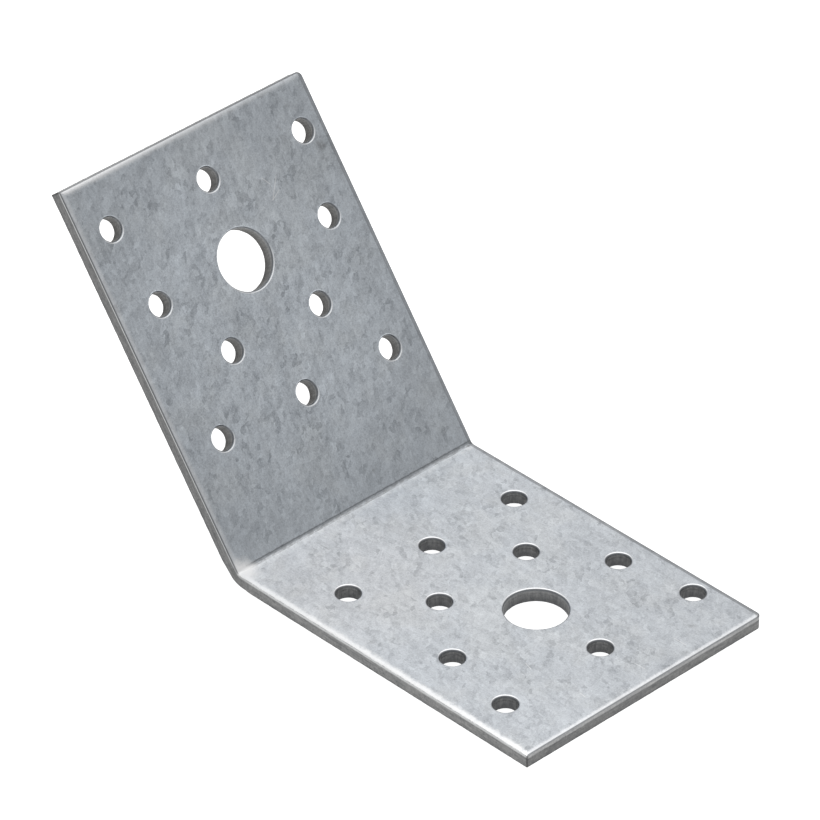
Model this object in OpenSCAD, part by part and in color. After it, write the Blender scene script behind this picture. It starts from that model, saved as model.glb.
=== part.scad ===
// Angle bracket: one strip of galvanised steel sheet, sheared, punched from its inner side and bent
// once to an obtuse angle. Shearing and punching roll the inner face's edges over a little.
// The origin is on the lower flange's underside, on the axis of its bolt hole. +X runs from the
// bend to the lower flange's free edge, and Y runs across the strip.

/* [Sheet] */
// Thickness of the steel sheet
sheet_t = 3; // [2:0.25:4]
// Width of the strip
strip_w = 65; // [64:1:90]
// Angle between the two flanges, on the inner side
inner_angle = 127; // [95:1:160]
// Radius of the bend on the inner side
bend_r = 1; // [0.3:0.1:4]
// Radius of the free ends' corners on the +Y side, seen in plan; those on the -Y side are square
corner_r = 1.3; // [1.2:0.1:6]

/* [Flanges] */
// Length of the lower flange along its underside, from the point where both outer faces would meet
lower_leg = 82.7; // [80:0.1:140]
// Length of the upper flange along its back, from the same point
upper_leg = 84.9; // [80:0.1:140]
// Distance from the lower flange's free edge to its first row of holes
lower_edge = 14.4; // [9:0.1:16]
// Distance from the upper flange's free edge to its first row of holes
upper_edge = 11.1; // [9:0.1:16]
// How far the lower flange's holes lie off the strip's centre line
lower_shift = 1.9; // [-3:0.1:3]
// How far the upper flange's holes lie off the strip's centre line
upper_shift = 0.9; // [-3:0.1:3]

/* [Holes] */
// Diameter of a nail hole
nail_d = 5; // [4:0.1:6]
// Diameter of the bolt hole in each flange
bolt_d = 13; // [9:0.5:14]
// Distance from the first row of holes to the second, which the bolt hole is in
second_row = 17.7; // [16:0.1:20]
// Distance from the second row to the third
third_row = 14.9; // [13:0.1:16]
// Distance from the third row to the fourth
fourth_row = 14.5; // [9:0.1:16]
// Distance of the first row's outer holes from the centre line
first_half = 26; // [20:0.5:27]
// Distance of the second row's nail holes from the centre line
second_half = 23; // [14:0.5:27]
// Distance of the third row's holes from the centre line
third_half = 12; // [6:0.5:27]
// Distance of the fourth row's outer holes from the centre line
fourth_half = 23; // [10:0.5:27]

/* [Rolled edges] */
// How far the roll of a sheared edge reaches in from the edge
edge_roll_w = 1.2; // [0.4:0.1:1.2]
// How far a sheared edge is rolled down
edge_roll_h = 0.25; // [0.1:0.05:0.35]
// How far the roll of a punched hole reaches out from its wall
hole_roll_w = 0.5; // [0.5:0.05:0.8]
// How far the rim of a punched hole is rolled down
hole_roll_h = 0.45; // [0.1:0.05:0.45]

/* [Hidden] */
$fn = 64;
// how far a cutting shape runs past the faces that it cuts
past = 1;
// how far each flange runs past the outer apex, before the bend's outside is rounded off
apex_lap = 0.5;
// how far the bend's two circles reach past the faces, so that they cross them
bend_dip = 0.01;
half_w = strip_w / 2;
// the least room between a nail hole's centre and the strip's side, in hole diameters
side_room = 0.9;
// how far each flange is turned from square to the bend's middle plane
half_turn = (180 - inner_angle) / 2;
outer_r = bend_r + sheet_t;
// distance from the outer apex to the bolt hole of the lower flange, which the origin is on
lower_bolt_x = lower_leg - lower_edge - second_row;

// Radius of the circle that leaves a face w before its edge and has dropped by h at that edge
function roll_radius(w, h) = (w * w + h * h) / (2 * h);

// What a roll takes off a square edge: x runs outwards to the edge at 0, y up to the face at 0
module roll_waste(w, h) {
    r = roll_radius(w, h);
    difference() {
        translate([-w, -r]) square([w + past, r + past]);
        translate([-w, -r]) circle(r);
    }
}

// Section across the strip, with x across it and the inner face at y = 0, down to this depth
module strip_section(depth) {
    difference() {
        translate([-half_w, -depth]) square([strip_w, depth]);
        for (side = [0, 1]) {
            mirror([side, 0])
                translate([half_w, 0]) roll_waste(edge_roll_w, edge_roll_h);
        }
    }
}

// The rounded corner of the free end, turned round its own centre
module end_corner() {
    rotate_extrude()
        difference() {
            square([corner_r, sheet_t]);
            translate([corner_r, sheet_t]) roll_waste(edge_roll_w, edge_roll_h);
        }
}

// Flat blank of a flange from just past the outer apex at x = 0 to its free edge, inner face up
module blank(length) {
    difference() {
        translate([-apex_lap, 0, sheet_t])
            rotate([90, 0, 90]) linear_extrude(length + apex_lap) strip_section(sheet_t);
        translate([length, 0, sheet_t])
            rotate([90, 0, 0]) linear_extrude(strip_w + 2 * past, center = true)
                roll_waste(edge_roll_w, edge_roll_h);
        translate([length - corner_r, half_w - corner_r, -past])
            cube([corner_r + past, corner_r + past, sheet_t + 2 * past]);
    }
    translate([length - corner_r, half_w - corner_r, 0]) end_corner();
}

// Cutter of a hole punched from the inner face, with the rolled rim that the punch leaves
module punch(d) {
    translate([0, 0, -past]) cylinder(d = d, h = sheet_t + 2 * past);
    translate([0, 0, sheet_t])
        rotate_extrude()
            translate([d / 2, 0]) mirror([1, 0]) roll_waste(hole_roll_w, hole_roll_h);
}

// Nail holes of one row: a pair, and one on the centre line where the row has it. On a narrow
// strip the pair draws in to this reach from the centre line.
module nail_row(x, half, reach, centred) {
    y_out = min(half, reach);
    for (y = centred ? [-y_out, 0, y_out] : [-y_out, y_out]) {
        translate([x, y, 0]) punch(nail_d);
    }
}

// All holes of a flange, whose first row lies at this distance from the outer apex
module hole_pattern(first_x, reach) {
    second_x = first_x - second_row;
    third_x = second_x - third_row;
    nail_row(first_x, first_half, reach, true);
    nail_row(second_x, second_half, reach, false);
    translate([second_x, 0, 0]) punch(bolt_d);
    nail_row(third_x, third_half, reach, false);
    nail_row(third_x - fourth_row, fourth_half, reach, true);
}

// A flange with its holes, which lie off the centre line by this shift
module flange(length, edge, shift) {
    difference() {
        blank(length);
        translate([0, shift, 0])
            hole_pattern(length - edge, half_w - abs(shift) - side_room * nail_d);
    }
}

// The bend's inner fillet, turned about the bend's centre from the lower flange to the upper one
module inner_bend() {
    rotate([0, -half_turn, 0])
        rotate([0, 90, 0]) rotate([-90, 0, 0]) rotate_extrude(angle = 2 * half_turn)
            translate([bend_r + bend_dip, 0]) rotate(90) strip_section(sheet_t / 2);
}

// What the bend's outside loses: the kite between its centre and the outer apex, less its circle
module outer_bend_waste() {
    reach = outer_r + past;
    rotate([90, 0, 0]) linear_extrude(strip_w + 2 * past, center = true)
        difference() {
            polygon([
                [0, 0],
                [reach * sin(half_turn), -reach * cos(half_turn)],
                [0, -reach / cos(half_turn)],
                [-reach * sin(half_turn), -reach * cos(half_turn)]
            ]);
            circle(outer_r + bend_dip);
        }
}

// The bracket with its outer apex at the origin and the bend's middle plane upright, so that both
// flanges are turned by the same amount
module folded() {
    difference() {
        union() {
            rotate([0, -half_turn, 0]) flange(lower_leg, lower_edge, lower_shift);
            rotate([0, half_turn, 0])
                mirror([1, 0, 0]) flange(upper_leg, upper_edge, upper_shift);
            translate([0, 0, outer_r / cos(half_turn)]) inner_bend();
        }
        translate([0, 0, outer_r / cos(half_turn)]) outer_bend_waste();
    }
}

// The whole bracket, lying on its lower flange
module bracket() {
    color("lightgray")
        translate([-lower_bolt_x, -lower_shift, 0]) rotate([0, half_turn, 0]) folded();
}

bracket();
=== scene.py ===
import bpy
import bmesh
import math
from types import SimpleNamespace
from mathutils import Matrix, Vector


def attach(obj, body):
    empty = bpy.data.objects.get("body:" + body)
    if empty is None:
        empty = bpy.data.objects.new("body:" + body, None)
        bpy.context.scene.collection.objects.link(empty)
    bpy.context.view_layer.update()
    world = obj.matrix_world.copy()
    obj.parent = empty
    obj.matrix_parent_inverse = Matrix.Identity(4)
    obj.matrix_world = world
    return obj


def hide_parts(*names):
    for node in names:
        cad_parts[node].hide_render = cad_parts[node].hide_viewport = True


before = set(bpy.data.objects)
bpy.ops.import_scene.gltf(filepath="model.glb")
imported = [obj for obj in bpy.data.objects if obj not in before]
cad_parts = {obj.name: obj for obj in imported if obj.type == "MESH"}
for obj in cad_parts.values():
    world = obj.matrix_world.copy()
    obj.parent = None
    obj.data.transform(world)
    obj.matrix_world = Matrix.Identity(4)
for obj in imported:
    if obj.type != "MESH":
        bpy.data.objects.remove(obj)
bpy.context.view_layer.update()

# Bracket
# A strip of 3 mm galvanised steel sheet, sheared to size, punched from its inner side and bent once.
# Here too it is first flat, then punched, then folded. A place on the flat strip is u along it from
# the bend's middle to the lower free end, v across it and w up from its outer face, all in mm.
thickness = 3.0
half_width = 32.5
bend_turn = math.radians(53.0)
bend_inside = 1.0
bend_outside = bend_inside + thickness
# half the bend's length on its middle line, and how far the bend starts from the outer apex
bend_half = 0.5 * bend_turn * (bend_inside + thickness / 2)
bend_set_back = bend_outside * math.tan(bend_turn / 2)
lower_leg, upper_leg = 82.7, 84.9                 # from the outer apex to the free ends
lower_end = lower_leg - bend_set_back + bend_half
upper_end = upper_leg - bend_set_back + bend_half
outer_apex = -50.6                                # in the part's frame, as is the strip's middle line
strip_middle = -1.9
edge_roll_width, edge_roll_drop = 1.2, 0.25
hole_roll_width, hole_roll_drop = 0.5, 0.45
edge_border, hole_border = 0.05, 0.15             # flat border between a roll and the open face
far_corner = 1.3
nail_radius, bolt_radius = 2.5, 6.5
# rows of holes from a free end inwards: the step to the row, its outer holes, its middle hole
rows = ((0.0, 26.0, nail_radius), (17.7, 23.0, bolt_radius), (14.9, 12.0, None),
        (14.5, 23.0, nail_radius))
# each flange's leg, first row from its free end, way along the strip, and holes' shift
flanges = ((lower_leg, 14.4, 1, 1.9), (upper_leg, 11.1, -1, 0.9))
tear_depth, tear_seed = 0.05, 7.0                 # how far the torn walls are eaten in
bend_draw_in = 0.01                               # how much narrower the bend's outer side gets


def hole_centres():
    """Each hole of the flat strip: its place along and across it, and its radius."""
    found = []
    for leg, first_row, side, shift in flanges:
        from_apex = leg - first_row
        for step, half, middle in rows:
            from_apex -= step
            u = side * (from_apex - bend_set_back + bend_half)
            if middle:
                found.append((u, shift, middle))
            found += [(u, shift - half, nail_radius), (u, shift + half, nail_radius)]
    return found


def stations(start, stop, step):
    """Even places from start to stop, about a step apart."""
    count = max(1, round((stop - start) / step))
    return [start + (stop - start) * i / count for i in range(count + 1)]


def edge_levels(parts=8, foot=0.3):
    """Levels of the sheared edge, each its distance in, its height, and its place from face to face:
    -1 on the inner face, 0 where the roll meets the wall, 1 at the wall's foot, 2 on the outer face."""
    radius = (edge_roll_width ** 2 + edge_roll_drop ** 2) / (2 * edge_roll_drop)
    levels = [(edge_roll_width + edge_border, thickness, -1.0)]
    for i in range(parts + 1):
        reach = edge_roll_width * i / parts
        height = thickness - radius + math.sqrt(radius * radius - reach * reach)
        levels.append((edge_roll_width - reach, height, i / parts - 1))
    wall_top = levels[-1][1]
    levels += [(0.0, wall_top * (1 - i / parts), i / parts) for i in range(1, parts + 1)]
    return levels + [(foot, 0.0, 2.0)]


def edge_loop(inset, along_side, across_end, corner_parts=8):
    """One turn round the strip's outline: each point's place, and the way from it into the sheet."""
    near, far = -half_width + inset, half_width - inset
    low, up = lower_end - inset, -upper_end + inset
    turn = [((up, near), (0.7, 0.7))]
    turn += [((u, near), (0, 1)) for u in along_side]
    turn.append(((low, near), (-0.7, 0.7)))
    turn += [((low, v), (-1, 0)) for v in across_end]
    # the far corners are rounded, and the far side lies between them
    for u_middle, start in ((lower_end - far_corner, 0.0), (-upper_end + far_corner, 90.0)):
        for i in range(corner_parts + 1):
            angle = math.radians(start + 90.0 * i / corner_parts)
            out_u, out_v = math.cos(angle), math.sin(angle)
            reach = far_corner - inset
            place = (u_middle + reach * out_u, half_width - far_corner + reach * out_v)
            turn.append((place, (-out_u, -out_v)))
        if start == 0.0:
            turn += [((u, far), (0, -1)) for u in reversed(along_side)]
    return turn + [((up, v), (1, 0)) for v in reversed(across_end)]


def blank_mesh(corner_room=1.6, bend_room=0.3, step=0.5, bend_step=0.1, across_bend=60, corner_parts=8):
    """The flat strip's edges and bend, left open where the flanges' faces come, and a point on each
    hole's centre."""
    guard = bend_half + bend_room
    along_side = (stations(-upper_end + corner_room, -guard, step)
                  + stations(-bend_half, bend_half, bend_step)
                  + stations(guard, lower_end - corner_room, step))
    across_end = stations(-half_width + corner_room, half_width - corner_room, step)
    made = bmesh.new()
    into_sheet = made.verts.layers.float_vector.new("into sheet")
    edge = made.verts.layers.float.new("edge")
    hole_radius = made.verts.layers.float.new("hole radius")
    rings = []
    for inset, height, level in edge_levels():
        ring = []
        for (u, v), way in edge_loop(inset, along_side, across_end, corner_parts):
            vertex = made.verts.new((u, v, height))
            vertex[edge] = level
            if 0 < level <= 1:
                vertex[into_sheet] = (*way, 0)
            ring.append(vertex)
        rings.append(ring)
    for outer, inner in zip(rings, rings[1:]):
        for i in range(len(outer)):
            j = (i + 1) % len(outer)
            made.faces.new((outer[i], inner[i], inner[j], outer[j]))
    # the bend's own faces run from the near side's edge to the far side's
    slack = 1e-6
    first = 1 + sum(u < -guard - slack for u in along_side)
    count = sum(abs(u) < guard + slack for u in along_side)
    far_start = 1 + len(along_side) + 1 + len(across_end) + corner_parts + 1
    for ring in (rings[0], rings[-1]):
        columns = []
        for k in range(first, first + count):
            near, far = ring[k], ring[far_start + len(along_side) - k]
            inside = [made.verts.new(near.co.lerp(far.co, i / across_bend))
                      for i in range(1, across_bend)]
            for vertex in inside:
                vertex[edge] = near[edge]
            columns.append([near, *inside, far])
        for one, two in zip(columns, columns[1:]):
            for i in range(across_bend):
                made.faces.new((one[i], two[i], two[i + 1], one[i + 1]))
    for u, v, radius in hole_centres():
        made.verts.new((u, v, 0))[hole_radius] = radius
    mesh = bpy.data.meshes.new("flat strip")
    made.to_mesh(mesh)
    made.free()
    return mesh


class Wires:
    """Adds nodes to a tree, in rows, and links them. A value is a number, a colour or a socket."""

    def __init__(self, tree):
        self.tree = tree

    def feed(self, target, value):
        if isinstance(value, bpy.types.NodeSocket):
            self.tree.links.new(value, target)
        else:
            target.default_value = value

    def add(self, kind, fed=None, **settings):
        """A new node with its settings, and with values fed to its named inputs."""
        row, column = divmod(len(self.tree.nodes), 16)
        made = self.tree.nodes.new(kind)
        made.location = (220 * column, -320 * row)
        for name, value in settings.items():
            setattr(made, name, value)
        for name, value in (fed or {}).items():
            self.feed(made.inputs[name], value)
        return made

    def math(self, operation, *values, clamp=False):
        made = self.add("ShaderNodeMath", operation=operation, use_clamp=clamp)
        for socket, value in zip(made.inputs, values):
            self.feed(socket, value)
        return made.outputs[0]

    def plus(self, *values):
        total = values[0]
        for value in values[1:]:
            total = self.math("ADD", total, value)
        return total

    def times(self, *values):
        total = values[0]
        for value in values[1:]:
            total = self.math("MULTIPLY", total, value)
        return total

    def minus(self, first, second, clamp=False):
        return self.math("SUBTRACT", first, second, clamp=clamp)

    def times_plus(self, value, factor, more):
        return self.math("MULTIPLY_ADD", value, factor, more)

    def largest(self, *values):
        most = values[0]
        for value in values[1:]:
            most = self.math("MAXIMUM", most, value)
        return most

    def rise(self, value, low, high, start=0.0, end=1.0, smooth=True):
        """Goes from start to end as the value goes from low to high."""
        steps = "SMOOTHSTEP" if smooth else "LINEAR"
        fed = {"Value": value, "From Min": low, "From Max": high, "To Min": start, "To Max": end}
        return self.add("ShaderNodeMapRange", fed, clamp=True, interpolation_type=steps).outputs["Result"]

    def fall(self, value, low, high, start=1.0, end=0.0, smooth=True):
        """Goes from start down to end as the value goes from low to high."""
        return self.rise(value, low, high, start, end, smooth)

    def mix(self, share, under, over):
        """One number over another."""
        return self.add("ShaderNodeMix", {0: share, 2: under, 3: over}, data_type="FLOAT").outputs[0]

    def blend(self, share, under, over, kind="MIX"):
        """One colour over another."""
        fed = {0: share, 6: under, 7: over}
        return self.add("ShaderNodeMix", fed, data_type="RGBA", blend_type=kind).outputs[2]

    def ramp(self, value, low, high):
        """A colour ramp between two stops, each a place and its colour."""
        made = self.add("ShaderNodeValToRGB", {0: value})
        for element, (place, colour) in zip(made.color_ramp.elements, (low, high)):
            element.position = place
            element.color = colour
        return made

    def vector(self, operation, *values, factor=None):
        made = self.add("ShaderNodeVectorMath", operation=operation)
        for socket, value in zip(made.inputs, values):
            self.feed(socket, value)
        if factor is not None:
            self.feed(made.inputs["Scale"], factor)
        return made.outputs["Value" if operation in ("DISTANCE", "DOT_PRODUCT", "LENGTH") else "Vector"]

    def joined(self, x=0.0, y=0.0, z=0.0):
        return self.add("ShaderNodeCombineXYZ", {0: x, 1: y, 2: z}).outputs[0]

    def kept(self, name, kind):
        """A value that the geometry keeps on its points under a name."""
        fed = {"Name": name}
        return self.add("GeometryNodeInputNamedAttribute", fed, data_type=kind).outputs["Attribute"]

    def split(self, vector):
        return self.add("ShaderNodeSeparateXYZ", {0: vector}).outputs

    def cloud(self, point, lumps_in_a_mm, stretch=(1, 1, 1), seed=0.0, detail=4.0, rough=0.55):
        """Soft noise over places in mm."""
        shift = (seed, seed * 0.7, -seed)
        place = self.add("ShaderNodeMapping", {"Vector": point, "Location": shift, "Scale": stretch})
        fed = {"Vector": place.outputs[0], "Scale": lumps_in_a_mm, "Detail": detail, "Roughness": rough}
        return self.add("ShaderNodeTexNoise", fed).outputs["Fac"]


def node_group(name, kind, takes, gives):
    """A group with named inputs, each given its kind or its starting number, and named outputs."""
    tree = bpy.data.node_groups.new(name, kind)
    for in_out, sockets in (("INPUT", takes), ("OUTPUT", gives)):
        for label, given in sockets.items():
            form = given if isinstance(given, str) else "Float"
            socket = tree.interface.new_socket(label, in_out=in_out, socket_type="NodeSocket" + form)
            if form is not given:
                socket.default_value = given
    wires = Wires(tree)
    return wires, wires.add("NodeGroupInput").outputs, wires.add("NodeGroupOutput").inputs


def kept_value(wires, geometry, name, value, kind="FLOAT"):
    """The geometry, with a value kept on its points under a name."""
    fed = {"Geometry": geometry, "Name": name, "Value": value}
    return wires.add("GeometryNodeStoreNamedAttribute", fed, data_type=kind, domain="POINT").outputs[0]


def punched_rim(around=64, roll_rows=8, wall_rows=8):
    """One hole's rolled rim and wall about its axis, and the two circles that they end in."""
    wires, come, go = node_group(
        "punched rim", "GeometryNodeTree",
        {"Hole radius": 2.5, "Thickness": 3.0, "Roll width": 0.5, "Roll drop": 0.45, "Flat border": 0.15},
        {"Rim": "Geometry", "Upper circle": "Geometry", "Lower circle": "Geometry"})
    hole, thick, width = come["Hole radius"], come["Thickness"], come["Roll width"]
    drop, border = come["Roll drop"], come["Flat border"]
    # a grid is wound round the axis: its columns are angles, and its rows are the inner face's
    # border, the roll, the wall and the outer face's border
    last = roll_rows + wall_rows + 2
    grid = wires.add("GeometryNodeMeshGrid", {"Size X": 2 * math.pi, "Size Y": float(last),
                                              "Vertices X": around + 1, "Vertices Y": last + 1})
    on_grid = wires.split(wires.add("GeometryNodeInputPosition").outputs[0])
    angle = on_grid["X"]
    row = wires.plus(on_grid["Y"], last / 2)
    squares = wires.times_plus(width, width, wires.times(drop, drop))
    radius = wires.math("DIVIDE", squares, wires.times(drop, 2.0))
    steepest = wires.math("ARCSINE", wires.math("DIVIDE", width, radius))
    rolled = wires.math("DIVIDE", wires.minus(row, 1.0), float(roll_rows), clamp=True)
    slope = wires.times(rolled, steepest)
    fallen = wires.math("DIVIDE", wires.minus(row, roll_rows + 1.0), float(wall_rows), clamp=True)
    outer_border = wires.minus(row, last - 1.0, clamp=True)
    flat = wires.plus(wires.minus(1.0, row, clamp=True), outer_border)
    reach = wires.times_plus(flat, border, wires.plus(hole, width))
    reach = wires.minus(reach, wires.times(radius, wires.math("SINE", slope)))
    height = wires.minus(thick, wires.times(radius, wires.minus(1.0, wires.math("COSINE", slope))))
    height = wires.minus(height, wires.times(fallen, wires.minus(thick, drop)))
    cosine, sine = wires.math("COSINE", angle), wires.math("SINE", angle)
    place = wires.joined(wires.times(reach, cosine), wires.times(reach, sine), height)
    on_wall = wires.times(wires.math("GREATER_THAN", fallen, 0.01), wires.math("LESS_THAN", row, last - 0.5))
    way = wires.joined(wires.times(cosine, on_wall), wires.times(sine, on_wall))
    level = wires.plus(wires.minus(rolled, 1.0), wires.plus(fallen, outer_border))
    kept = kept_value(wires, grid.outputs["Mesh"], "into sheet", way, "FLOAT_VECTOR")
    kept = kept_value(wires, kept, "edge", level)
    shaped = wires.add("GeometryNodeSetPosition", {"Geometry": kept, "Position": place})
    wires.feed(go["Rim"], shaped.outputs[0])
    for name, size in (("Upper circle", wires.plus(hole, width, border)),
                       ("Lower circle", wires.plus(hole, border))):
        circle = wires.add("GeometryNodeMeshCircle", {"Vertices": around, "Radius": size})
        wires.feed(go[name], circle.outputs[0])
    return wires.tree


def punched_strip(wires, come):
    """The flat strip: rims on the holes' centres, and both faces filled between rims and edges."""
    blank, thick = come["Geometry"], come["Thickness"]
    rim = punched_rim()
    radius = wires.kept("hole radius", "FLOAT")
    is_hole = wires.math("GREATER_THAN", radius, 0.1)
    is_bolt = wires.math("GREATER_THAN", radius, 4.0)
    is_nail = wires.times(is_hole, wires.math("LESS_THAN", radius, 4.0))
    copies = {"Rim": [], "Upper circle": [], "Lower circle": []}
    for size, chosen in ((come["Nail hole radius"], is_nail), (come["Bolt hole radius"], is_bolt)):
        one_rim = wires.add("GeometryNodeGroup", {
            "Hole radius": size, "Thickness": thick, "Roll width": come["Hole roll width"],
            "Roll drop": come["Hole roll drop"], "Flat border": come["Flat border"]}, node_tree=rim)
        for name, made in copies.items():
            placed = wires.add("GeometryNodeInstanceOnPoints", {"Points": blank, "Selection": chosen,
                                                                "Instance": one_rim.outputs[name]})
            made.append(placed.outputs["Instances"])
    neighbours = wires.add("GeometryNodeInputMeshEdgeNeighbors").outputs[0]
    open_edge = wires.math("COMPARE", neighbours, 1.0, 0.1)
    height = wires.split(wires.add("GeometryNodeInputPosition").outputs[0])["Z"]
    on_top = wires.math("GREATER_THAN", height, 1.5)
    pieces = []
    for name, side, lift, level in (("Upper circle", on_top, thick, -1.0),
                                    ("Lower circle", wires.minus(1.0, on_top), 0.0, 2.0)):
        outline = wires.add("GeometryNodeMeshToCurve",
                            {"Mesh": blank, "Selection": wires.times(open_edge, side)})
        circles = wires.add("GeometryNodeJoinGeometry")
        for made in copies[name]:
            wires.feed(circles.inputs[0], made)
        real = wires.add("GeometryNodeRealizeInstances", {"Geometry": circles.outputs[0]})
        rings = wires.add("GeometryNodeMeshToCurve", {"Mesh": real.outputs[0]})
        lines = wires.add("GeometryNodeJoinGeometry")
        wires.feed(lines.inputs[0], outline.outputs[0])
        wires.feed(lines.inputs[0], rings.outputs[0])
        filled = wires.add("GeometryNodeFillCurve", {"Curve": lines.outputs[0]})
        raised = wires.add("GeometryNodeSetPosition",
                           {"Geometry": filled.outputs[0], "Offset": wires.joined(z=lift)})
        pieces.append(kept_value(wires, raised.outputs[0], "edge", level))
    edges = wires.add("GeometryNodeDeleteGeometry", {"Geometry": blank, "Selection": is_hole},
                      domain="POINT")
    whole = wires.add("GeometryNodeJoinGeometry")
    for made in pieces + copies["Rim"] + [edges.outputs[0]]:
        wires.feed(whole.inputs[0], made)
    real = wires.add("GeometryNodeRealizeInstances", {"Geometry": whole.outputs[0]})
    sewn = wires.add("GeometryNodeMergeByDistance", {"Geometry": real.outputs[0], "Distance": 0.002})
    return sewn.outputs[0]


def torn_strip(wires, come, strip):
    """The walls' lower part is torn: noise eats into the sheet there."""
    position = wires.add("GeometryNodeInputPosition").outputs[0]
    noise = wires.add("ShaderNodeTexNoise", {"Vector": position, "W": come["Seed"], "Scale": 0.8,
                                             "Detail": 3.0}, noise_dimensions="4D")
    eaten = wires.rise(noise.outputs["Fac"], 0.35, 0.7)
    low_down = wires.fall(wires.split(position)["Z"], 0.6, 2.0)
    depth = wires.times(eaten, low_down, come["Tear depth"])
    push = wires.vector("SCALE", wires.kept("into sheet", "FLOAT_VECTOR"), factor=depth)
    torn = wires.add("GeometryNodeSetPosition", {"Geometry": strip, "Offset": push})
    return kept_value(wires, torn.outputs[0], "flat", position, "FLOAT_VECTOR")


def folded(wires, come, strip):
    """Both flanges stay straight, and the strip between them turns about the bend's centre."""
    thick, turn = come["Thickness"], come["Bend turn"]
    flat_place = wires.split(wires.add("GeometryNodeInputPosition").outputs[0])
    u, v, w = flat_place["X"], flat_place["Y"], flat_place["Z"]
    outside = wires.plus(come["Bend radius"], thick)
    middle = wires.times_plus(thick, 0.5, come["Bend radius"])
    half = wires.times(middle, turn, 0.5)
    past_bend = wires.largest(wires.minus(u, half), 0.0)
    before_bend = wires.largest(wires.minus(wires.times(u, -1.0), half), 0.0)
    angle = wires.times(wires.fall(u, wires.times(half, -1.0), half, smooth=False), turn)
    arm = wires.minus(outside, w)
    set_back = wires.math("TANGENT", wires.times(turn, 0.5))
    centre = wires.times_plus(outside, set_back, come["Outer apex"])
    x = wires.minus(wires.plus(centre, past_bend), wires.times(arm, wires.math("SINE", angle)))
    x = wires.minus(x, wires.times(before_bend, wires.math("COSINE", turn)))
    z = wires.minus(outside, wires.times(arm, wires.math("COSINE", angle)))
    z = wires.plus(z, wires.times(before_bend, wires.math("SINE", turn)))
    # the stretched outer side of the bend draws in a little at both ends
    near_bend = wires.fall(wires.math("ABSOLUTE", u), 0.0, 5.0)
    outer_side = wires.fall(w, 0.0, thick, smooth=False)
    draw = wires.times(near_bend, outer_side, come["Draw-in"])
    y = wires.times_plus(v, wires.minus(1.0, draw), come["Middle line"])
    metres_in_a_mm = 0.001
    metres = wires.vector("SCALE", wires.joined(x, y, z), factor=metres_in_a_mm)
    return wires.add("GeometryNodeSetPosition", {"Geometry": strip, "Position": metres}).outputs[0]


def fold_tree():
    wires, come, go = node_group(
        "punched and folded strip", "GeometryNodeTree",
        {"Geometry": "Geometry", "Finish": "Material", "Thickness": 3.0, "Nail hole radius": 2.5,
         "Bolt hole radius": 6.5, "Hole roll width": 0.5, "Hole roll drop": 0.45, "Flat border": 0.15,
         "Bend radius": 1.0, "Bend turn": 0.925, "Tear depth": 0.05, "Seed": 7.0, "Outer apex": -50.6,
         "Middle line": -1.9, "Draw-in": 0.01},
        {"Geometry": "Geometry"})
    strip = torn_strip(wires, come, punched_strip(wires, come))
    real = wires.add("GeometryNodeRealizeInstances", {"Geometry": folded(wires, come, strip)})
    painted = wires.add("GeometryNodeSetMaterial", {"Geometry": real.outputs[0], "Material": come["Finish"]})
    wires.feed(go["Geometry"], painted.outputs[0])
    return wires.tree


def folded_strip(finish, same_point=2e-7, sharp_from=math.radians(30)):
    """The bracket's mesh, in metres and in the part's frame. It keeps each point's place on the flat
    strip and its place from face to face, which the finish reads."""
    flat = bpy.data.objects.new("flat strip", blank_mesh())
    bpy.context.scene.collection.objects.link(flat)
    tree = fold_tree()
    maker = flat.modifiers.new("punch and fold", "NODES")
    maker.node_group = tree
    given = {"Finish": finish, "Thickness": thickness, "Nail hole radius": nail_radius,
             "Bolt hole radius": bolt_radius, "Hole roll width": hole_roll_width,
             "Hole roll drop": hole_roll_drop, "Flat border": hole_border, "Bend radius": bend_inside,
             "Bend turn": bend_turn, "Tear depth": tear_depth, "Seed": tear_seed,
             "Outer apex": outer_apex, "Middle line": strip_middle, "Draw-in": bend_draw_in}
    for socket in tree.interface.items_tree:
        if socket.in_out == "INPUT" and socket.name in given:
            maker[socket.identifier] = given[socket.name]
    bpy.context.view_layer.update()
    mesh = bpy.data.meshes.new_from_object(flat.evaluated_get(bpy.context.evaluated_depsgraph_get()))
    bpy.data.objects.remove(flat)
    sewn = bmesh.new()
    sewn.from_mesh(mesh)
    bmesh.ops.remove_doubles(sewn, verts=sewn.verts, dist=same_point)
    bmesh.ops.recalc_face_normals(sewn, faces=sewn.faces)
    for face in sewn.faces:
        face.smooth = True
    sewn.to_mesh(mesh)
    sewn.free()
    mesh.set_sharp_from_angle(angle=sharp_from)
    return mesh


crystal_size = 2.1                                # mm, in the coat's coarsest layer


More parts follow.
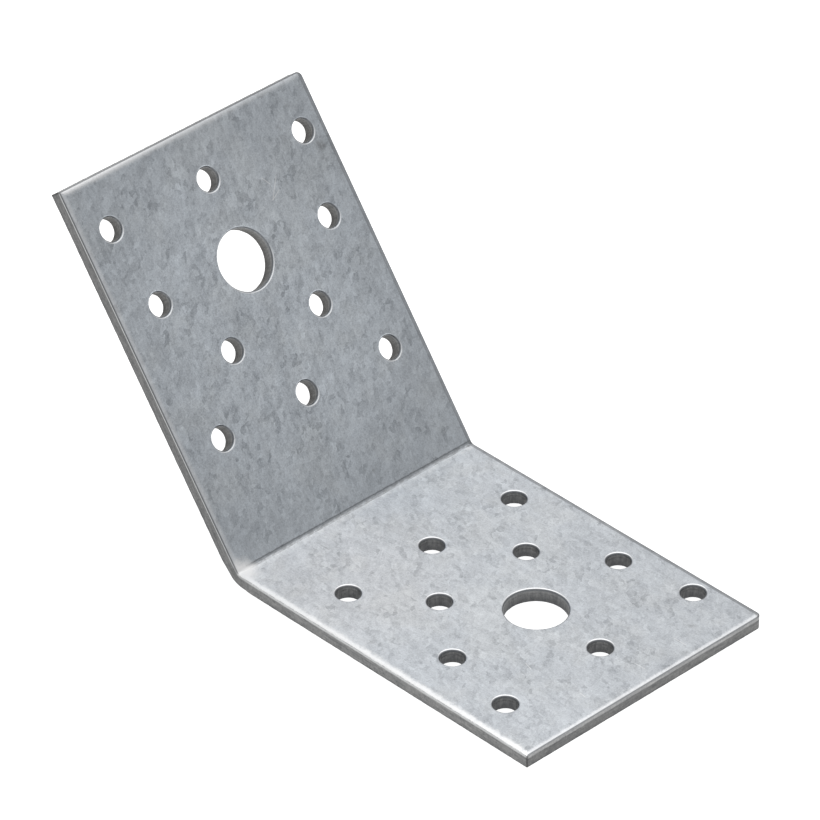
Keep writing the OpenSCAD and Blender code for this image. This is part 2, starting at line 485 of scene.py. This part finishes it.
def zinc_crystals():
    """The coat's soft spangle: hot zinc freezes into flat crystals, which weather to different greys.
    The group takes a place on the flat strip, and puts out how light the coat is there, how dull,
    and its height."""
    wires, come, go = node_group("zinc crystals", "ShaderNodeTree",
                                 {"Point": "Vector", "Crystal size": 2.0, "Contrast": 1.0},
                                 {"Tone": "Float", "Dullness": "Float", "Height": "Float"})
    point = come["Point"]
    # crystal edges wander, so the cells are looked up at a place pushed about by noise
    noise = wires.add("ShaderNodeTexNoise",
                      {"Vector": point, "Scale": 0.5, "Detail": 3.0, "Roughness": 0.5})
    push = wires.vector("SUBTRACT", noise.outputs["Color"], (0.5, 0.5, 0.5))
    pushed = wires.vector("ADD", point, wires.vector("SCALE", push, factor=2.2))
    # they are longer than wide, and lie aslant on the strip
    drawn = wires.add("ShaderNodeMapping", {"Vector": pushed, "Rotation": (0, 0, -0.66),
                                            "Scale": (1.7, 1.0, 1.0)}, vector_type="TEXTURE")
    count = wires.math("DIVIDE", 1.0, come["Crystal size"])
    shades = []
    for finer in (1.0, 2.2, 4.7):
        cells = wires.add("ShaderNodeTexVoronoi",
                          {"Vector": drawn.outputs[0], "Scale": wires.times(count, finer)})
        shades.append(wires.add("ShaderNodeSeparateColor", {0: cells.outputs["Color"]}).outputs)
    cloud = wires.cloud(point, 0.16, detail=6.0, rough=0.66, seed=3.1)
    grain = wires.cloud(point, 3.2, rough=0.75, seed=8.4)
    wide = wires.cloud(point, 0.035, detail=3.0, rough=0.5, seed=1.7)
    brushed = wires.cloud(point, 1.3, stretch=(0.22, 1.0, 1.0), rough=0.6, seed=4.9)
    # each layer lightens and darkens about nothing, and the sum is scaled by the contrast
    layers = ((shades[0][0], 0.13), (shades[1][1], 0.12), (shades[2][0], 0.10), (cloud, 0.26),
              (grain, 0.95), (wide, 0.26), (brushed, 0.34))
    total = wires.plus(*(wires.times_plus(value, weight, -weight / 2) for value, weight in layers))
    flecks = wires.times(wires.rise(shades[1][0], 0.74, 0.77), wires.rise(cloud, 0.44, 0.58))
    flakes = wires.times(wires.rise(shades[1][0], 0.24, 0.20), wires.fall(cloud, 0.40, 0.55))
    total = wires.times_plus(flakes, 0.10, wires.times_plus(flecks, -0.19, total))
    wires.feed(go["Tone"], wires.times_plus(total, come["Contrast"], 0.5))
    wires.feed(go["Dullness"], wires.times_plus(shades[0][2], 0.5, wires.times(cloud, 0.5)))
    wires.feed(go["Height"], wires.times_plus(grain, 0.35, wires.times(cloud, 0.65)))
    return wires.tree


def sheared_wall():
    """The wall that shears and punches leave: a smooth burnished band under the rolled edge, and torn
    steel below. The group puts out how burnished a place is, how light, and its height."""
    wires, come, go = node_group(
        "sheared wall", "ShaderNodeTree",
        {"Point": "Vector", "Below the edge": "Float", "Burnished width": "Float", "Scored down": "Float"},
        {"Burnished": "Float", "Tone": "Float", "Height": "Float"})
    point = come["Point"]
    wave = wires.cloud(point, 0.4, detail=3.0, seed=2.2)
    line = wires.times(wires.times_plus(wave, 0.5, 0.75), come["Burnished width"])
    burnished = wires.rise(wires.minus(line, come["Below the edge"]), -0.16, 0.16)
    pits = wires.cloud(point, 1.7, stretch=(1, 1, 0.8), detail=5.0, rough=0.65, seed=5.0)
    # shears leave lines along the strip, and punches leave scores down their wall
    streaks = wires.cloud(point, 1.3, stretch=(0.16, 0.16, 1.5), rough=0.65, seed=6.5)
    scores = wires.cloud(point, 1.5, stretch=(1, 1, 0.12), rough=0.7, seed=2.9)
    lines = wires.mix(come["Scored down"], streaks, scores)
    wires.feed(go["Burnished"], burnished)
    wires.feed(go["Tone"], wires.times_plus(pits, 0.45, wires.times(lines, 0.55)))
    wires.feed(go["Height"], wires.times(wires.times_plus(wires.minus(1.0, burnished), 0.85, 0.15), pits))
    return wires.tree


def one_mark():
    """One scratch or smudge between two places on the flat strip."""
    wires, come, go = node_group(
        "mark", "ShaderNodeTree",
        {"Point": "Vector", "From": "Vector", "To": "Vector", "Half width": "Float", "Softness": "Float"},
        {"Mark": "Float"})
    line = wires.vector("SUBTRACT", come["To"], come["From"])
    offset = wires.vector("SUBTRACT", come["Point"], come["From"])
    share = wires.math("DIVIDE", wires.vector("DOT_PRODUCT", offset, line),
                       wires.vector("DOT_PRODUCT", line, line), clamp=True)
    gap = wires.vector("SUBTRACT", offset, wires.vector("SCALE", line, factor=share))
    over = wires.minus(wires.vector("LENGTH", gap), come["Half width"])
    wires.feed(go["Mark"], wires.fall(over, 0.0, come["Softness"]))
    return wires.tree


def strip_places(wires, outline_reach=1.3):
    """Where a point lies on the strip: its place, its distance from each side, and masks of areas. A
    wall within the reach of a side is the strip's own, and any other is a hole's."""
    point = wires.add("ShaderNodeAttribute", attribute_name="flat").outputs["Vector"]
    edge = wires.add("ShaderNodeAttribute", attribute_name="edge").outputs["Fac"]
    u, v, w = wires.split(point)
    on_upper = wires.fall(u, -1.2, 1.2)
    on_lower = wires.minus(1.0, on_upper)
    near_gap, far_gap = wires.plus(v, half_width), wires.minus(half_width, v)
    low_gap, up_gap = wires.minus(lower_end, u), wires.plus(u, upper_end)
    end_gap, side_gap = wires.math("MINIMUM", low_gap, up_gap), wires.math("MINIMUM", near_gap, far_gap)
    outline = wires.math("LESS_THAN", wires.math("MINIMUM", end_gap, side_gap), outline_reach)
    at_end = wires.math("LESS_THAN", end_gap, side_gap)
    at_near = wires.times(wires.math("LESS_THAN", near_gap, far_gap), wires.minus(1.0, at_end))
    return SimpleNamespace(
        point=point, edge=edge, u=u, v=v, w=w, near_gap=near_gap, far_gap=far_gap, end_gap=end_gap,
        on_upper=on_upper, on_lower=on_lower, outline=outline, hole=wires.minus(1.0, outline),
        at_end=at_end, at_near=at_near, low_near=wires.times(at_near, on_lower),
        wall=wires.times(wires.rise(edge, -0.015, 0.015, smooth=False),
                         wires.fall(edge, 1.0, 1.05, smooth=False)),
        inner=wires.math("LESS_THAN", edge, 0.5))


def crystal_coat(wires, at):
    """The zinc's colour, and its group. It has painted light on the lower flange near the bend, painted
    shade on the upper flange away from its middle, and is darker towards the lower flange's far corner; each
    flange also gets its own painted tint for the light that falls on it.
    """
    dark_zinc, plain_zinc = (0.30, 0.315, 0.34, 1), (0.60, 0.622, 0.655, 1)
    light_zinc, painted_shade_grey = (0.87, 0.90, 0.94, 1), (0.30, 0.32, 0.34, 1)
    upper_painted_light_tint, lower_painted_light_tint = (0.975, 1.01, 1.03, 1), (1.035, 1.045, 1.045, 1)
    bend_painted_light_tint, far_tint, warm_tint = (1.06, 1.035, 1.015, 1), (0.92, 0.92, 0.92, 1), (1.025, 1.0, 0.955, 1)
    zinc = wires.add("ShaderNodeGroup", {
        "Point": at.point, "Crystal size": crystal_size, "Contrast": wires.mix(at.on_upper, 0.75, 1.0)},
        node_tree=zinc_crystals())
    coat = wires.ramp(zinc.outputs["Tone"], (0.1, dark_zinc), (0.9, light_zinc))
    coat.color_ramp.elements.new(0.5).color = plain_zinc
    # painted light gathers round the lightest place on the lower flange, and painted shade grows away from
    # the upper flange's middle
    lightest_place, upper_middle = (12, -20, 3), (-43, -3, 3)
    near_the_bend = wires.fall(wires.vector("DISTANCE", at.point, lightest_place), 8.0, 36.0)
    far_off = wires.rise(wires.plus(at.u, at.v), 50.0, 105.0, 0.0, 0.8)
    tinged = wires.rise(wires.cloud(at.point, 0.11, detail=3.0, seed=7.7), 0.45, 0.65, 0.0, 0.3)
    colour = coat.outputs[0]
    # the flanges' tints and the bend's tint are painted light; the far tint darkens towards the lower
    # flange's far corner, and the warm tint falls at random
    for share, tint in ((at.on_upper, upper_painted_light_tint), (at.on_lower, lower_painted_light_tint),
                        (wires.times(at.on_lower, near_the_bend), bend_painted_light_tint), (far_off, far_tint),
                        (tinged, warm_tint)):
        colour = wires.blend(share, colour, tint, "MULTIPLY")
    from_middle = wires.vector("DISTANCE", at.point, upper_middle)
    shaded = wires.times(at.on_upper, wires.rise(from_middle, 12.0, 52.0), 0.30)
    return wires.blend(shaded, colour, painted_shade_grey), zinc


def bend_lines(wires, at, colour):
    """The inside of the bend: a painted shade line under the upper flange, a speckled band round the
    bend, a broken painted highlight line below it, and a white blob at the near end."""
    crease_shade_grey, speckle_grey = (0.12, 0.125, 0.13, 1), (0.24, 0.245, 0.25, 1)
    highlight_white, blob_white = (0.96, 0.97, 0.98, 1), (0.99, 0.99, 0.99, 1)
    waver = wires.cloud(at.point, 0.9, rough=0.7, seed=9.3)
    swayed = wires.times_plus(waver, 0.5, wires.minus(at.u, 0.25))
    crease_shade = wires.times(wires.rise(swayed, -1.5, -1.35), wires.fall(swayed, -1.2, -0.95))
    speckled = wires.times(wires.rise(swayed, -1.2, -0.8), wires.fall(swayed, 0.7, 1.1),
                           wires.fall(waver, 0.42, 0.58, 1.0, 0.45))
    highlight_line = wires.times(wires.rise(swayed, 0.8, 1.15), wires.fall(swayed, 1.3, 2.9),
                         wires.fall(waver, 0.3, 0.6, 1.0, 0.25))
    blob_place = (0.3, -31.6, 3)
    from_blob = wires.vector("DISTANCE", at.point, blob_place)
    blob = wires.fall(wires.times_plus(waver, 2.4, from_blob), 2.8, 6.0)
    # the crease gets painted shade and the bright line below the bend is a painted highlight; the speckled
    # band and the white blob lie over the zinc
    for share, strength, over in ((crease_shade, 0.6, crease_shade_grey), (speckled, 0.65, speckle_grey),
                                  (highlight_line, 0.65, highlight_white), (blob, 0.95, blob_white)):
        colour = wires.blend(wires.times(share, at.inner, strength), colour, over)
    return colour, blob


def rim_highlights_and_shade(wires, at, colour):
    """Rolled edges get painted highlights: widely on the lower flange's near side, narrowly at the free
    ends, hardly elsewhere, and painted shade where they meet the wall. Holes get a painted highlight on one
    side."""
    rim_highlight_white, shaded_rim = (0.96, 0.965, 0.97, 1), (0.18, 0.185, 0.195, 1)
    rag_noise = wires.cloud(at.point, 0.7, detail=6.0, rough=0.75, seed=11.0)
    rag = wires.times_plus(rag_noise, 3.0, -1.5)
    # the bright bands on the rolled edges are painted highlights, ragged by noise
    near_highlight = wires.times(at.low_near, wires.fall(wires.plus(at.near_gap, rag), 0.4, 1.8, 0.95, 0.0))
    ragged_end = wires.times_plus(rag, 0.35, at.end_gap)
    low_end_highlight = wires.times(at.on_lower, wires.fall(ragged_end, 0.5, 1.15, 0.55, 0.0))
    up_end_highlight = wires.times(at.on_upper, at.at_end, wires.fall(ragged_end, 0.6, 1.7, 0.85, 0.0),
                         wires.fall(at.v, -30.0, 26.0, 1.0, 0.35))
    side_highlight = wires.times(at.at_near, at.on_upper, wires.fall(at.near_gap, 0.5, 1.5, 0.35, 0.0))
    # rims that lean to the lower free end's near corner, or up the upper flange, get a painted highlight
    facing = wires.add("ShaderNodeTexCoord").outputs["Normal"]
    lower_way, upper_way = (0.72, -0.69, 0.0), (-0.585, -0.237, 0.776)
    leans = [wires.vector("DOT_PRODUCT", facing, way) for way in (lower_way, upper_way)]
    caught = wires.times(wires.rise(wires.mix(at.on_upper, *leans), 0.0, 0.16),
                         wires.mix(at.on_upper, 1.0, 0.75))
    ring = wires.times(at.hole, caught, wires.rise(at.edge, -0.999, -0.97),
                       wires.fall(at.edge, -0.76, -0.6))
    rim_highlight = wires.times(wires.largest(near_highlight, low_end_highlight, up_end_highlight, side_highlight, ring), at.inner)
    colour = wires.blend(rim_highlight, colour, rim_highlight_white)
    # painted shade along the far side, where the rolls meet the wall, in a broken line on the lower flange's
    # near side, and down the steep part of each hole's roll
    far_side = wires.times(wires.math("LESS_THAN", at.far_gap, 1.0), 0.45)
    line = wires.times(wires.minus(at.outline, at.low_near),
                       wires.rise(at.edge, -0.30, -0.16, 0.0, 0.85))
    broken = wires.times(wires.rise(at.edge, -0.12, -0.04), wires.rise(rag_noise, 0.42, 0.6, 0.1, 0.75),
                         at.low_near)
    steep = wires.times(at.hole, wires.rise(at.edge, -0.66, -0.5, 0.0, 0.84))
    rim_shade = wires.times(wires.largest(far_side, line, broken, steep), at.inner)
    return wires.blend(rim_shade, colour, shaded_rim), rim_highlight


# scratches and dark marks on the inner face: where each starts and ends on the flat strip, and a
# dark mark's half width and strength
light_scratches = (
    ((75.26, 14.46), (78.47, 14.51)), ((75.6, 3.1), (78.2, 3.26)), ((75.01, -11.31), (76.58, -11.52)),
    ((60.9, -12.1), (62.9, -12.7)), ((-68.19, 12.84), (-66.38, 14.0)), ((-67.25, 16.15), (-63.25, 13.02)),
    ((-64.47, 15.37), (-63.25, 13.02)), ((0.1, 30.4), (0.25, 30.6)))
dark_marks = (
    ((4.94, -13.92), (6.89, -13.84), 0.10, 0.9), ((-17.14, -27.05), (-17.02, -15.47), 0.05, 0.5),
    ((79.87, 12.23), (80.1, 12.6), 0.5, 0.5), ((74.84, 19.66), (75.2, 19.9), 0.4, 0.4),
    ((-5.51, 7.32), (-5.6, 7.6), 0.25, 0.7), ((-14.09, -13.35), (-14.2, -13.1), 0.2, 0.6),
    ((-49.58, -10.36), (-48.17, -11.17), 0.10, 0.7), ((-68.9, 29.0), (-68.3, 29.6), 0.6, 0.8),
    # the first mark on this line, at the bend's far end, is painted shade in a notch there
    ((0.6, 31.0), (0.75, 31.1), 0.3, 1.6), ((-75.9, 21.4), (-75.2, 21.9), 0.4, 0.5),
    ((-78.9, 25.4), (-78.7, 26.1), 0.3, 0.4))


def scratched(wires, at, colour):
    """The colour with the scratches and marks over it, each at its place on the inner face."""
    scratch_white, mark_grey = (0.97, 0.97, 0.97, 1), (0.20, 0.20, 0.20, 1)
    mark_group = one_mark()

    def mark(start, end, half, softness):
        made = wires.add("ShaderNodeGroup", {
            "Point": at.point, "From": (*start, thickness), "To": (*end, thickness),
            "Half width": half, "Softness": softness}, node_tree=mark_group)
        return made.outputs[0]

    for start, end in light_scratches:
        colour = wires.blend(wires.times(mark(start, end, 0.01, 0.14), 0.55), colour, scratch_white)
    ragged = wires.cloud(at.point, 1.4, detail=5.0, rough=0.7, seed=6.1)
    for start, end, half, strength in dark_marks:
        share = wires.times(mark(start, end, half * 0.2, half * 2.2),
                            wires.rise(ragged, 0.38, 0.58, 0.1, strength * 0.6))
        colour = wires.blend(share, colour, mark_grey)
    return colour


def bare_walls(wires, at):
    """Bare steel's colour and group: brighter where it is burnished, with painted shade that differs from
    side to side and grows darker down inside the holes.
    """
    torn_dark, torn_light = (0.17, 0.175, 0.18, 1), (0.40, 0.40, 0.395, 1)
    burnished_steel, painted_shade_steel = (0.52, 0.53, 0.53, 1), (0.08, 0.08, 0.08, 1)
    lower_shadow, upper_shadow = (0.062, 0.065, 0.07, 1), (0.07, 0.066, 0.06, 1)
    shade_line_dark = (0.07, 0.07, 0.07, 1)
    below = wires.minus(thickness - edge_roll_drop, at.w)
    outline_band = wires.mix(at.at_end, wires.mix(at.on_upper, 0.5, 0.28), 0.72)
    shear = wires.add("ShaderNodeGroup", {
        "Point": at.point, "Below the edge": below, "Scored down": at.hole,
        "Burnished width": wires.mix(at.hole, outline_band, 0.75)}, node_tree=sheared_wall())
    burnished = shear.outputs["Burnished"]
    torn = wires.ramp(shear.outputs["Tone"], (0.36, torn_dark), (0.64, torn_light))
    # the burnished band is painted lit on the strip's sides and dimmer at the free ends and in the holes;
    # the torn steel gets painted shade, most on the upper flange and at the free ends
    lit_burnish = wires.mix(at.hole, wires.mix(at.at_end, 0.8, 0.15), 0.12)
    steel = wires.blend(wires.times(burnished, lit_burnish), torn.outputs[0], burnished_steel)
    wall_shade = wires.largest(wires.mix(at.on_upper, 0.15, 0.35), wires.times(at.at_end, 0.38))
    wall_shade = wires.times(at.outline, wall_shade, wires.minus(1.0, burnished))
    steel = wires.blend(wall_shade, steel, painted_shade_steel)
    # painted shade deepens down inside the holes
    hole_shade = wires.times(at.hole, wires.rise(below, 0.2, 2.6, 0.25, 0.72))
    steel = wires.blend(hole_shade, steel, wires.blend(at.on_upper, lower_shadow, upper_shadow))
    # the foot of each side and the sharp near corners get lines of painted shade
    corner = wires.fall(wires.plus(at.near_gap, at.end_gap), 0.12, 0.45, 0.8, 0.0)
    foot = wires.fall(at.w, 0.05, 0.4, 0.45, 0.0)
    return wires.blend(wires.times(at.outline, wires.largest(corner, foot)), steel, shade_line_dark), shear


def galvanised_sheet():
    """Zinc on the faces, bare steel on the sheared sides, the free ends and the holes' walls."""
    material = bpy.data.materials.new("galvanised_sheet")
    material.use_nodes = True
    material.node_tree.nodes.clear()
    wires = Wires(material.node_tree)
    at = strip_places(wires)
    colour, zinc = crystal_coat(wires, at)
    colour, blob = bend_lines(wires, at, colour)
    colour, rim_highlight = rim_highlights_and_shade(wires, at, colour)
    colour = scratched(wires, at, colour)
    steel, shear = bare_walls(wires, at)
    face_rough = wires.mix(rim_highlight, wires.rise(zinc.outputs["Dullness"], 0.2, 0.8, 0.36, 0.50), 0.30)
    burnished_rough = wires.mix(at.hole, 0.36, 0.56)
    wall_rough = wires.fall(shear.outputs["Burnished"], 0.0, 1.0, 0.60, burnished_rough)
    relief = wires.mix(at.wall, wires.times(zinc.outputs["Height"], 0.12), shear.outputs["Height"])
    bump = wires.add("ShaderNodeBump", {"Strength": 0.6, "Distance": 0.00025, "Height": relief})
    metal = wires.add("ShaderNodeBsdfPrincipled", {
        "Base Color": wires.blend(at.wall, colour, steel),
        "Roughness": wires.mix(at.wall, face_rough, wall_rough),
        "Metallic": wires.times_plus(blob, -0.6, 0.85), "Normal": bump.outputs[0]})
    wires.add("ShaderNodeOutputMaterial", {"Surface": metal.outputs[0]})
    return material


bracket = bpy.data.objects.new("folded_sheet", folded_strip(galvanised_sheet()))
bpy.context.scene.collection.objects.link(bracket)
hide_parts("bracket")
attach(bracket, "root")

# Floor
# A wide sheet of plain white paper. It shows white to the camera and in the metal, and otherwise
# only takes the bracket's soft shadow.
floor_half, floor_drop = 6.0, 0.00005             # metres, as are the places below
paper_grey, paper_glow = (0.6, 0.6, 0.6, 1), 0.85
floor_corners = [(x * floor_half, y * floor_half, 0) for x, y in ((-1, -1), (1, -1), (1, 1), (-1, 1))]
floor_mesh = bpy.data.meshes.new("floor")
floor_mesh.from_pydata(floor_corners, [], [(0, 1, 2, 3)])
floor = bpy.data.objects.new("floor", floor_mesh)
floor.location.z = -floor_drop
bpy.context.scene.collection.objects.link(floor)
paper = bpy.data.materials.new("white paper")
paper.use_nodes = True
paper.node_tree.nodes.clear()
sheet = Wires(paper.node_tree)
rays = sheet.add("ShaderNodeLightPath").outputs
seen = sheet.largest(rays["Is Camera Ray"], rays["Is Glossy Ray"], rays["Is Transmission Ray"])
matt = sheet.add("ShaderNodeBsdfDiffuse", {"Color": paper_grey})
glow = sheet.add("ShaderNodeEmission", {"Color": (1, 1, 1, 1), "Strength": sheet.times(seen, paper_glow)})
both = sheet.add("ShaderNodeAddShader", {0: matt.outputs[0], 1: glow.outputs[0]})
sheet.add("ShaderNodeOutputMaterial", {"Surface": both.outputs[0]})
floor_mesh.materials.append(paper)

# Light
# A large soft box stands behind the bracket and another hangs over it, so that the lower flange is
# bright, the upper one half lit, and the sheared sides towards the camera dark.
studio_white, studio_strength = (1.0, 1.0, 1.0, 1), 0.5
world = bpy.data.worlds.new("studio")
bpy.context.scene.world = world
world.use_nodes = True
world.node_tree.nodes["Background"].inputs["Color"].default_value = studio_white
world.node_tree.nodes["Background"].inputs["Strength"].default_value = studio_strength
box_side = 1.1
box_aim = Vector((-0.02, 0, 0.02))
for name, place, watts in (("main soft box", Vector((-0.55, 0.55, 0.95)), 1.5),
                           ("overhead soft box", Vector((-0.02, 0.05, 0.9)), 3.0)):
    lamp = bpy.data.lights.new(name, "AREA")
    lamp.shape = "SQUARE"
    lamp.size = box_side
    lamp.energy = watts
    held = bpy.data.objects.new(name, lamp)
    held.location = place
    held.rotation_euler = (box_aim - place).to_track_quat("-Z", "Y").to_euler()
    bpy.context.scene.collection.objects.link(held)

# Camera
# Its place and lens come from a fit to the bracket's edges and holes in the photograph.
photo_width = 820                                 # pixels, as is the focal length
focal_pixels = 6960.25
camera_target = Vector((-0.005967, -0.028730, 0.061543))
camera_distance = 1.32078
camera_azimuth = math.radians(-44.008)
camera_elevation = math.radians(34.934)
lens = bpy.data.cameras.new("camera")
lens.sensor_width = 36.0
lens.lens = focal_pixels / photo_width * lens.sensor_width
lens.clip_start, lens.clip_end = 0.05, 40
camera = bpy.data.objects.new("camera", lens)
towards = Vector((math.cos(camera_elevation) * math.cos(camera_azimuth),
                  math.cos(camera_elevation) * math.sin(camera_azimuth),
                  math.sin(camera_elevation)))
camera.location = camera_target + towards * camera_distance
camera.rotation_euler = (-towards).to_track_quat("-Z", "Y").to_euler()
bpy.context.scene.collection.objects.link(camera)
bpy.context.scene.camera = camera
bpy.context.scene.view_settings.view_transform = "Standard"
